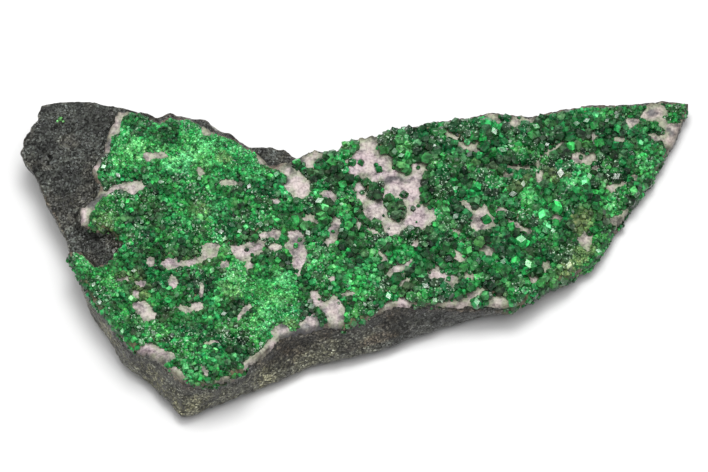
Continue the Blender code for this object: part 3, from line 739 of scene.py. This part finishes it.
def noise(tree, size, detail=4, rough=0.55):
    """Fractal noise over the object, with blobs about one size across."""
    place = add(tree, "ShaderNodeTexCoord").outputs["Object"]
    inputs = {"Vector": place, "Scale": 0.5 / size, "Detail": detail, "Roughness": rough}
    return add(tree, "ShaderNodeTexNoise", inputs).outputs["Fac"]


def curve(tree, value, *stops):
    """A colour ramp of (position, colour) stops."""
    made = add(tree, "ShaderNodeValToRGB", {"Fac": value})
    ramp_stops = made.color_ramp.elements
    while len(ramp_stops) < len(stops):
        ramp_stops.new(0.5)
    for stop, (position, colour) in zip(ramp_stops, stops):
        stop.position = position
        stop.color = (*colour, 1)
    return made.outputs["Color"]


def grey(value):
    """A grey as a colour."""
    return (value, value, value)


def mix(tree, share, first, second, kind="MIX"):
    """Two colours mixed by a share. Each is a colour or another node's output."""
    pair = [(*colour, 1) if isinstance(colour, tuple) else colour for colour in (first, second)]
    inputs = {0: share, 6: pair[0], 7: pair[1]}
    return add(tree, "ShaderNodeMix", inputs, data_type="RGBA", blend_type=kind).outputs[2]


def bump(tree, height, distance, strength=1.0):
    """A normal roughened by a height, which stands for up to this distance."""
    inputs = {"Height": height, "Distance": distance, "Strength": strength}
    return add(tree, "ShaderNodeBump", inputs).outputs["Normal"]


def varied(tree, shader, size, low, high):
    """Lets the roughness drift between two values, in patches about one size across."""
    ends = {"From Min": 0.35, "From Max": 0.65, "To Min": low, "To Max": high}
    spread = add(tree, "ShaderNodeMapRange", {"Value": noise(tree, size, 2), **ends})
    tree.links.new(spread.outputs["Result"], shader.inputs["Roughness"])


def tone(tree, name="tone"):
    """The colour painted on the mesh under this name."""
    return add(tree, "ShaderNodeAttribute", attribute_name=name).outputs["Color"]


def grains(tree, size):
    """A random colour for each grain, about one size across."""
    place = add(tree, "ShaderNodeTexCoord").outputs["Object"]
    return add(tree, "ShaderNodeTexVoronoi", {"Vector": place, "Scale": 1 / size}).outputs["Color"]


def grey_of(tree, colour):
    """One channel of a colour, as a grey."""
    return add(tree, "ShaderNodeSeparateColor", {"Color": colour}).outputs[0]


def faceted(tree, colour, tilt, normal):
    """A normal that leans a way of its own on each grain, as its broken face does."""
    centred = add(tree, "ShaderNodeVectorMath", {0: colour, 1: (0.5, 0.5, 0.5)}, operation="SUBTRACT")
    lean = add(tree, "ShaderNodeVectorMath", {0: centred.outputs[0], "Scale": tilt}, operation="SCALE")
    total = add(tree, "ShaderNodeVectorMath", {0: lean.outputs[0], 1: normal}, operation="ADD")
    return add(tree, "ShaderNodeVectorMath", {0: total.outputs[0]}, operation="NORMALIZE").outputs[0]


def crystal_material(name, low, high, gloss):
    """Emerald garnet: glassy to matt faces over a deep green body, with painted light and shade inside
    it and painted pale glints.
    """
    made, tree, shader = material(name)
    # painted light and shade inside the crystals: bright spots stand for light reflected within, dark
    # ones for shade
    painted_inner_light = curve(
        tree, noise(tree, 0.28 * MM, 3, 0.6), (0.34, (0.1, 0.15, 0.13)), (0.45, (0.6, 0.66, 0.62)),
        (0.55, (1.25, 1.2, 1.2)), (0.7, (2.6, 1.8, 2.0)),
    )
    green = mix(tree, 1.0, tone(tree, "tint"), painted_inner_light, "MULTIPLY")
    dull = curve(tree, noise(tree, 0.9 * MM, 3), (0.5, grey(0)), (0.7, grey(0.25)))
    # painted glints: pale flecks in patches, mixed over the crystals' green as painted highlights
    specks = curve(tree, noise(tree, 0.13 * MM, 2), (0.58, grey(0)), (0.68, grey(0.85)))
    clusters = curve(tree, noise(tree, 1.5 * MM, 3), (0.5, grey(0.1)), (0.62, grey(1)))
    painted_glints = mix(tree, 1.0, specks, clusters, "MULTIPLY")
    body = mix(tree, dull, green, OLIVE_GREEN)
    tree.links.new(mix(tree, painted_glints, body, PAINTED_GLINT), shader.inputs["Base Color"])
    pitted = bump(tree, noise(tree, 0.15 * MM, 3), 0.02 * MM, 0.6)
    tree.links.new(pitted, shader.inputs["Normal"])
    varied(tree, shader, 0.8 * MM, low, high)
    shader.inputs["IOR"].default_value = 1.5
    shader.inputs["Specular IOR Level"].default_value = gloss
    return made


def bed_material():
    """The ground between the crystals: granular, its dark green painted as shade between them."""
    made, tree, shader = material("uvarovite_ground")
    speckle = curve(tree, noise(tree, 0.3 * MM), (0.35, grey(0.4)), (0.65, grey(1.8)))
    tree.links.new(mix(tree, 1.0, tone(tree), speckle, "MULTIPLY"), shader.inputs["Base Color"])
    tree.links.new(bump(tree, noise(tree, 0.2 * MM), 0.1 * MM), shader.inputs["Normal"])
    varied(tree, shader, 0.5 * MM, 0.4, 0.7)
    return made


def skin_material():
    """Clinochlore: lavender grey to cream, in fine flakes with a silky gloss."""
    made, tree, shader = material("clinochlore")
    mottle = curve(
        tree, noise(tree, 0.7 * MM, 6, 0.7), (0.36, (0.25, 0.25, 0.26)), (0.44, (0.64, 0.61, 0.63)),
        (0.5, (0.95, 0.94, 0.94)), (0.58, (1.08, 1.1, 1.04)), (0.66, (1.15, 1.08, 1.11)),
    )
    scales = noise(tree, 0.16 * MM, 3)
    fine = curve(tree, scales, (0.36, (0.68, 0.65, 0.67)), (0.5, grey(1.0)), (0.64, grey(1.2)))
    speckled = mix(tree, 1.0, mix(tree, 1.0, tone(tree), mottle, "MULTIPLY"), fine, "MULTIPLY")
    tree.links.new(speckled, shader.inputs["Base Color"])
    flaked = bump(tree, noise(tree, 0.3 * MM, 5), 0.12 * MM)
    tree.links.new(flaked, shader.inputs["Normal"])
    varied(tree, shader, 0.6 * MM, 0.35, 0.65)
    return made


def rock_material():
    """Chromite: dark angular grains with bright specks, weathered brown to olive in places."""
    made, tree, shader = material("chromite")
    coarse, fine = grains(tree, 0.5 * MM), grains(tree, 0.18 * MM)
    broad = curve(tree, grey_of(tree, coarse), (0.0, grey(0.4)), (0.7, grey(1.1)), (1.0, grey(1.6)))
    specks = curve(
        tree, grey_of(tree, fine), (0.0, grey(0.15)), (0.55, grey(0.85)),
        (0.82, (2.0, 2.0, 2.1)), (1.0, (4.2, 4.3, 5.0)),
    )
    patches = curve(tree, noise(tree, 1.6 * MM, 4), (0.38, grey(0.55)), (0.62, grey(1.4)))
    toned = mix(tree, 1.0, tone(tree), patches, "MULTIPLY")
    colour = mix(tree, 1.0, mix(tree, 1.0, toned, broad, "MULTIPLY"), specks, "MULTIPLY")
    tree.links.new(colour, shader.inputs["Base Color"])
    lumpy = bump(tree, noise(tree, 0.45 * MM, 5), 0.25 * MM)
    broken = faceted(tree, fine, 0.9, faceted(tree, coarse, 0.5, lumpy))
    tree.links.new(broken, shader.inputs["Normal"])
    varied(tree, shader, 0.7 * MM, 0.3, 0.6)
    return made


def rock(plate):
    """The slab's own form, remeshed finely and roughened into broken, granular stone."""
    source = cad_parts["chromite_slab"]
    mesh = source.data.copy()
    mesh.transform(source.matrix_world)
    obj = placed("granular_chromite", mesh)
    remesh = obj.modifiers.new("remesh", "REMESH")
    remesh.mode = "VOXEL"
    remesh.voxel_size = ROCK_VOXEL
    evaluated = obj.evaluated_get(bpy.context.evaluated_depsgraph_get())
    fine = bpy.data.meshes.new_from_object(evaluated)
    obj.modifiers.clear()
    obj.data = fine
    count = len(fine.vertices)
    places, normals = np.zeros(count * 3), np.zeros(count * 3)
    fine.vertices.foreach_get("co", places)
    fine.vertices.foreach_get("normal", normals)
    places, normals = places.reshape(-1, 3), normals.reshape(-1, 3)
    lift = ROCK_LUMPS * roughness(places, 2.2 * MM, 61, 2)
    lift += ROCK_GRAINS * roughness(places, 0.7 * MM, 64, 2)
    on_floor = places[:, 2] < 0.3 * MM
    lift = np.where(on_floor, np.minimum(lift, 0), lift)
    places += normals * lift[:, None]
    places[:, 2] = np.maximum(places[:, 2], 0)
    upward = normals[:, 2]
    skin = plate.grid.read(plate.skin, places[:, :2])
    under_skin = ramp(skin, -0.45 * MM, 0) * ramp(upward, 0.1, 0.5)
    places[:, 2] += (SKIN_RISE - SKIN_SHOWN) * under_skin
    stained = ramp(ripple(places, 2.6 * MM, 65) + 0.5 * ripple(places, 0.8 * MM, 66), -0.1, 0.5)
    rim = ramp(-upward, -0.96, -0.75)
    face = blend(FRESH, BROWN, np.maximum(0.15 * stained, rim * (0.35 + 0.65 * stained)))
    west = 1 - 0.85 * ramp(places[:, 0], -4 * MM, 4 * MM)
    down = ramp(-places[:, 2], -5.6 * MM, -4.4 * MM)
    wall = blend(WALL_GREY, OLIVE, west * (0.3 + 0.7 * down) * (0.5 + 0.5 * stained))
    paint(obj, "tone", blend(wall, face, ramp(upward, 0.4, 0.7)))
    fine.vertices.foreach_set("co", places.ravel())
    fine.update()
    fine.materials.clear()
    dress(obj, rock_material(), "chromite", "chromite_slab")


def dress(obj, finish, slot, *nodes):
    """Gives a piece its material and its place in the frame."""
    obj.data.materials.append(finish)
    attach(obj, "root")
    if nodes:
        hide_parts(*nodes)


def greens_at(light):
    """The crystals' green for each lightness, from 0 to 1."""
    return np.column_stack([np.interp(light, GREEN_STEPS, channel) for channel in zip(*GREENS)])


def tints_of(light, spots, pixels, spread, dice):
    """A colour for each crystal, from its zone's lightness, with patches of yellower and of bluer
    green, some spread, some haze and dust in places."""
    share = np.clip(light + spread * dice.normal(0, 1, len(light)), 0, 1)
    colours = blend(greens_at(share), HAZE, 0.4 * dice.random(len(light)) ** 5)
    warm = 0.5 * roughness(spots, 2.0 * MM, 57, 2) + dice.normal(0, 0.3, len(light))
    colours[:, 0] += 0.12 * np.maximum(warm, 0) * colours[:, 1]
    colours[:, 2] += 0.1 * np.maximum(-warm, 0) * colours[:, 1]
    for *ellipse, dust in DULLED:
        ragged = ellipse_share(pixels, *ellipse) + 0.3 * roughness(spots, 0.8 * MM, 59, 2)
        colours = blend(colours, DULL_GREEN, dust * (1 - ramp(ragged, 0.6, 1.1)))
    return np.clip(colours, 0, 1)


def skin_tones(plate):
    """Colour of the skin over the grid: lilac to cream, beige to tan at the right, rusty outside
    windows, green where fine garnet lies on it and dark where the rock shows through."""
    grid = plate.grid
    drift = ramp(roughness(grid.places, 3 * MM, 91, 2), -0.2, 0.9)
    colours = blend(LILAC, CREAM, drift)
    colours = blend(colours, BEIGE, ramp(grid.places[:, 0], 0.08 * PLATE_LENGTH, 0.2 * PLATE_LENGTH))
    colours = blend(colours, TAN, 0.8 * ramp(grid.places[:, 0], 0.4 * PLATE_LENGTH, 0.47 * PLATE_LENGTH))
    uneven = 0.2 * MM * roughness(grid.places, 0.8 * MM, 93, 2)
    rim = 1 - ramp(plate.skin + uneven, 0.1 * MM, 0.4 * MM)
    edge = 1 - ramp(plate.window + 2.5 * uneven, 0, 0.6 * MM)
    dusty = np.maximum(0.7 * edge, dust_field(grid, plate.slab))
    colours = blend(colours, DUST, np.clip(dusty, 0, 1))
    hidden = 1 - ramp(plate.window + uneven, -0.5 * MM, -0.1 * MM)
    colours = blend(colours, RUSTY, np.maximum(0.7 * rim, hidden))
    pixels = picture_of(grid.places, plate.slab + SKIN_RISE)
    for ellipse in SCUFFS:
        ragged = ellipse_share(pixels, *ellipse) + 0.5 * roughness(grid.places, 0.8 * MM, 97, 2)
        colours = blend(colours, SCUFF, 0.85 * (1 - ramp(ragged, 0.6, 1.1)))
    return colours


def skin_layer(plate):
    """The lavender skin on the slab. Returns its upper face over the grid."""
    grid, slab = plate.grid, plate.slab
    flakes = SKIN_FLAKES * roughness(grid.places, 0.7 * MM, 71)
    top = slab - TUCK + (SKIN_RISE + TUCK + flakes) * ramp(plate.skin, 0, 0.3 * MM)
    layer, corners, under = blanket("clinochlore_flakes", grid, plate.skin, top, slab - 2 * TUCK)
    paint(layer, "tone", blend(skin_tones(plate)[corners], WALL_GREY, under))
    dress(layer, skin_material(), "clinochlore", "clinochlore_skin")
    return top


def crystal_bed(plate):
    """The ground that the crystals stand on. Returns its upper face over the grid."""
    grid, slab = plate.grid, plate.slab
    humps = BED_HUMPS * roughness(grid.places, 0.8 * MM, 81)
    top = slab + (BED_RISE + humps) * ramp(plate.green, -0.05 * MM, 0.4 * MM) - TUCK
    layer, corners, _ = blanket("druse_bed", grid, plate.crust, top, slab - 2 * TUCK)
    brown = ramp(roughness(grid.places, 1.6 * MM, 85, 2), -0.2, 0.5)
    brown *= ramp(plate.largest, 0.25 * MM, 0.4 * MM)
    # painted shade: the ground's green is half the crystals' green, for the shade between them; brown in
    # the gaps in places
    paint(layer, "tone", blend(0.5 * greens_at(plate.light), GAP_BROWN, 0.8 * brown)[corners])
    dress(layer, bed_material(), "uvarovite", "uvarovite_crust")
    return top


def druse(plate, skin_top, bed_top, glassy, dice):
    """The crust's crystals: one piece of coarse ones, and four of fine ones from left to right."""
    grid = plate.grid
    frosty = crystal_material("uvarovite_fine", 0.2, 0.5, 0.35)
    room = np.minimum(plate.crust + OVERHANG, -plate.window)
    loose = np.minimum(plate.crust - STRAY_INSET, plate.green + STRAY_REACH)
    spots, radii = packed(grid, plate.largest, room, loose, dice)
    big = radii >= COARSE
    floor = np.maximum(grid.read(bed_top, spots), grid.read(skin_top, spots))
    spread = np.where(big, COARSE_SPREAD, FINE_SPREAD)
    light = grid.read(plate.light, spots)
    shades = tints_of(light, spots, picture_of(spots, floor), spread, dice)
    heights = floor + radii * dice.uniform(SUNK, RAISED, len(radii))
    centres = np.column_stack([spots, heights])
    side = np.digitize(spots[:, 0], np.quantile(spots[~big, 0], [0.25, 0.5, 0.75]))
    groups = [("garnets_coarse", big, glassy, COARSE_FACET_LIGHT)]
    groups += [(f"garnets_fine_{k + 1}", ~big & (side == k), frosty, FINE_FACET_LIGHT) for k in range(4)]
    for name, chosen, finish, facets in groups:
        piece = crystals(name, centres[chosen], radii[chosen], shades[chosen], facets, dice)
        dress(piece, finish, "uvarovite")


def lone_garnets(plate, skin_top, glassy, dice):
    """The garnets that stand alone."""
    grid, slab = plate.grid, plate.slab
    lone = np.array(LONE_GARNETS + LONE_ON_SLAB)
    on_slab = np.arange(len(lone)) >= len(LONE_GARNETS)
    sizes = lone[:, 2] * MM
    places = laid(lone[:, :2], grid, slab, SKIN_RISE)
    places[on_slab] = laid(lone[on_slab, :2], grid, slab, 0)
    heights = np.where(on_slab, grid.read(slab, places), grid.read(skin_top, places))
    heights += LONE_RAISED * sizes
    shades = tints_of(np.where(on_slab, 0.7, 0.35), places, lone[:, :2], FINE_SPREAD, dice)
    centres = np.column_stack([places, heights])
    piece = crystals("garnets_lone", centres, sizes, shades, COARSE_FACET_LIGHT, dice)
    dress(piece, glassy, "uvarovite")
    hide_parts(*[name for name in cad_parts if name.startswith("lone_garnet")])


def build():
    """The dressed plate: rock, skin, ground and crystals."""
    dice = np.random.default_rng(7)
    plate = Plate()
    rock(plate)
    skin_top = skin_layer(plate)
    bed_top = crystal_bed(plate)
    glassy = crystal_material("uvarovite", 0.08, 0.4, 0.5)
    druse(plate, skin_top, bed_top, glassy, dice)
    lone_garnets(plate, skin_top, glassy, dice)


def camera():
    """A camera far off at the photograph's viewing angle, with its frame."""
    data = bpy.data.cameras.new("camera")
    data.sensor_width = SENSOR
    data.lens = SENSOR * CAMERA_DISTANCE / (FRAME_WIDTH * PIXEL)
    data.clip_end = 10
    obj = placed("camera", data)
    across = (FRAME_WIDTH / 2 - CENTRE_U) * PIXEL
    up_picture = (CENTRE_V - FRAME_HEIGHT / 2) * PIXEL
    back = (up_picture - AIM_HEIGHT * math.cos(VIEW_ELEVATION)) / math.sin(VIEW_ELEVATION)
    aim = Vector((across, back, AIM_HEIGHT))
    away = Vector((0, -math.cos(VIEW_ELEVATION), math.sin(VIEW_ELEVATION)))
    obj.location = aim + CAMERA_DISTANCE * away
    obj.rotation_euler = away.to_track_quat("Z", "Y").to_euler()
    bpy.context.scene.camera = obj


def lamp(name, elevation, size, power):
    """A square softbox behind the plate, so many degrees up, that points at its middle."""
    data = bpy.data.lights.new(name, "AREA")
    data.size = size
    data.energy = power
    obj = placed(name, data)
    rise = math.radians(elevation)
    towards = Vector((0, math.cos(rise), math.sin(rise)))
    obj.location = towards * LAMP_DISTANCE
    obj.rotation_euler = towards.to_track_quat("Z", "Y").to_euler()
    return obj


def studio():
    """A pale floor, a large softbox overhead, a small lamp for glints, and a dim room."""
    mesh = bpy.data.meshes.new("floor")
    corners = [(-1, -1, 0), (1, -1, 0), (1, 1, 0), (-1, 1, 0)]
    mesh.from_pydata([Vector(corner) * FLOOR_REACH for corner in corners], [], [(0, 1, 2, 3)])
    floor = placed("floor", mesh)
    made, _, shader = material("floor")
    shader.inputs["Base Color"].default_value = (*grey(FLOOR_GREY), 1)
    shader.inputs["Roughness"].default_value = 0.9
    mesh.materials.append(made)
    lamp("soft", 89, 0.6, 5.0).visible_glossy = False
    lamp("spark", 80, 0.2, 2.0)
    world = bpy.data.worlds.new("room")
    world.use_nodes = True
    air = world.node_tree.nodes["Background"].inputs
    air["Color"].default_value = (1, 1, 1, 1)
    air["Strength"].default_value = ROOM_LIGHT
    bpy.context.scene.world = world
    bpy.context.scene.view_settings.view_transform = "Standard"


build()
camera()
studio()
